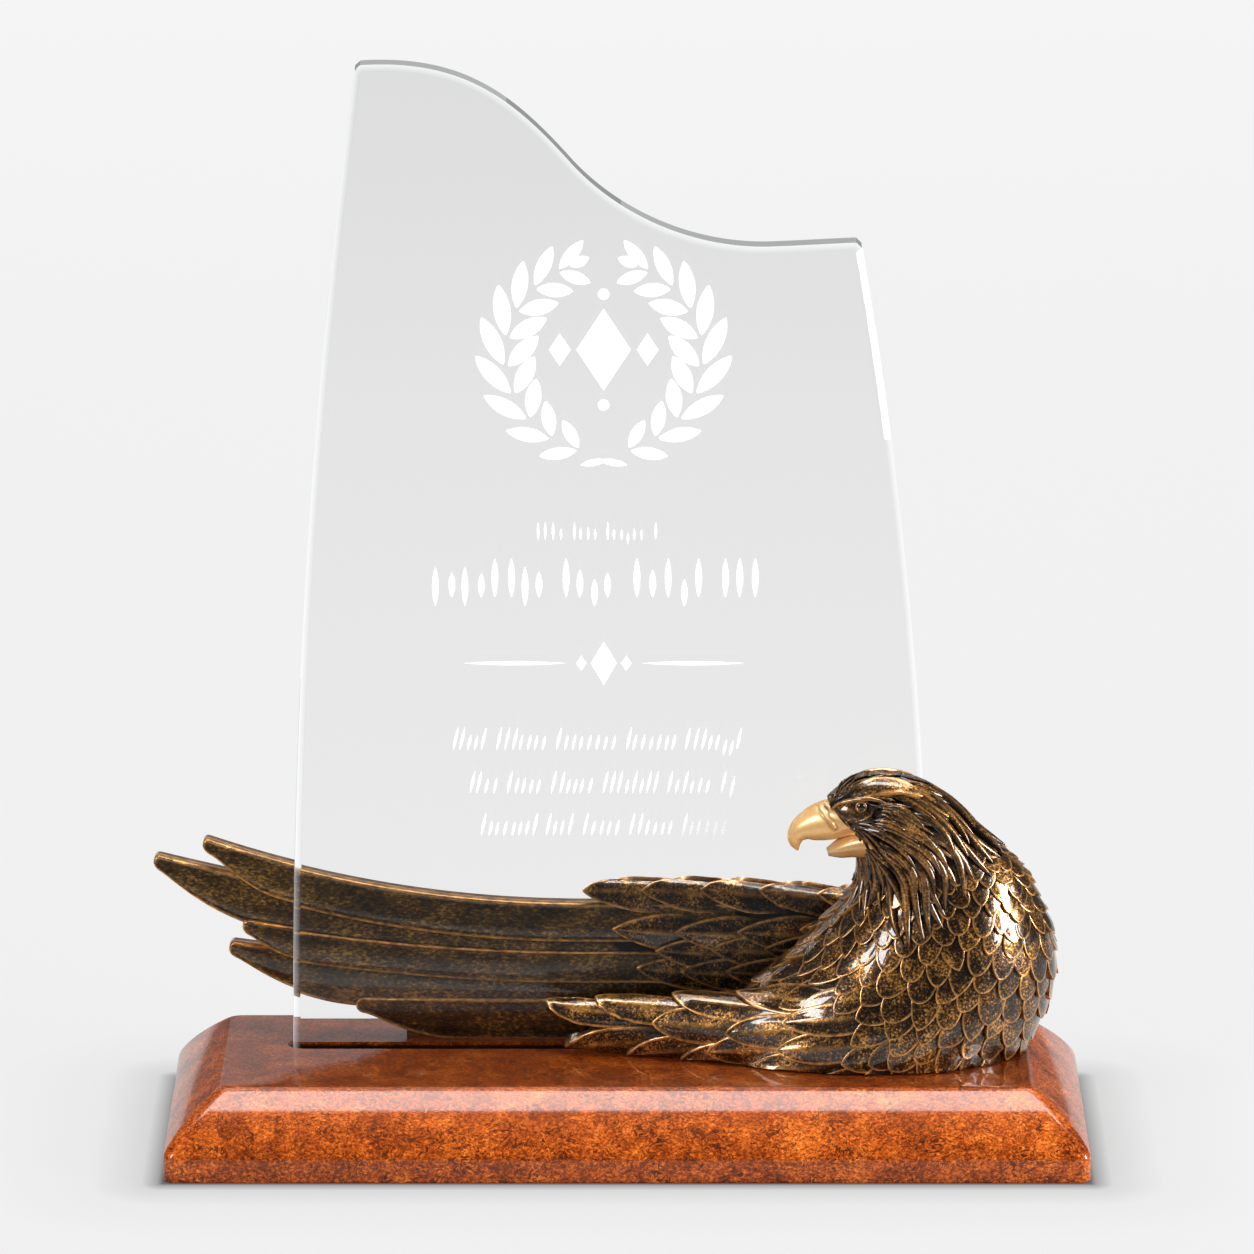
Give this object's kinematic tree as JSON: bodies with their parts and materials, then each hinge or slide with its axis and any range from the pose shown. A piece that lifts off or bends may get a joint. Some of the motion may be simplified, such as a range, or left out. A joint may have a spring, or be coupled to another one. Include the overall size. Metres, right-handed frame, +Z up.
{
  "type": "eagle trophy",
  "caption": "Award trophy: a cast bronze-finish eagle wraps its wings round an upright clear glass panel with a wavy top, on a bevelled wooden plinth.",
  "frame": {"origin": "middle of the plinth's underside", "axes": "+X to the right seen from the front, towards the eagle's body; +Y to the back; +Z up"},
  "size_m": [0.2592, 0.102, 0.301],
  "materials": {
    "rosewood": "burl veneer under clear gloss lacquer",
    "clear_glass": "polished, bevelled edges, frosted engraving on the front",
    "bronze_finish": "cold-cast resin, dark antique bronze with rubbed copper edges under gloss lacquer",
    "gold_finish": "satin gold paint on the beak"
  },
  "bodies": {
    "root": {"plinth": "rosewood", "glass_panel": "clear_glass", "eagle": "bronze_finish"}
  },
  "joints": []
}
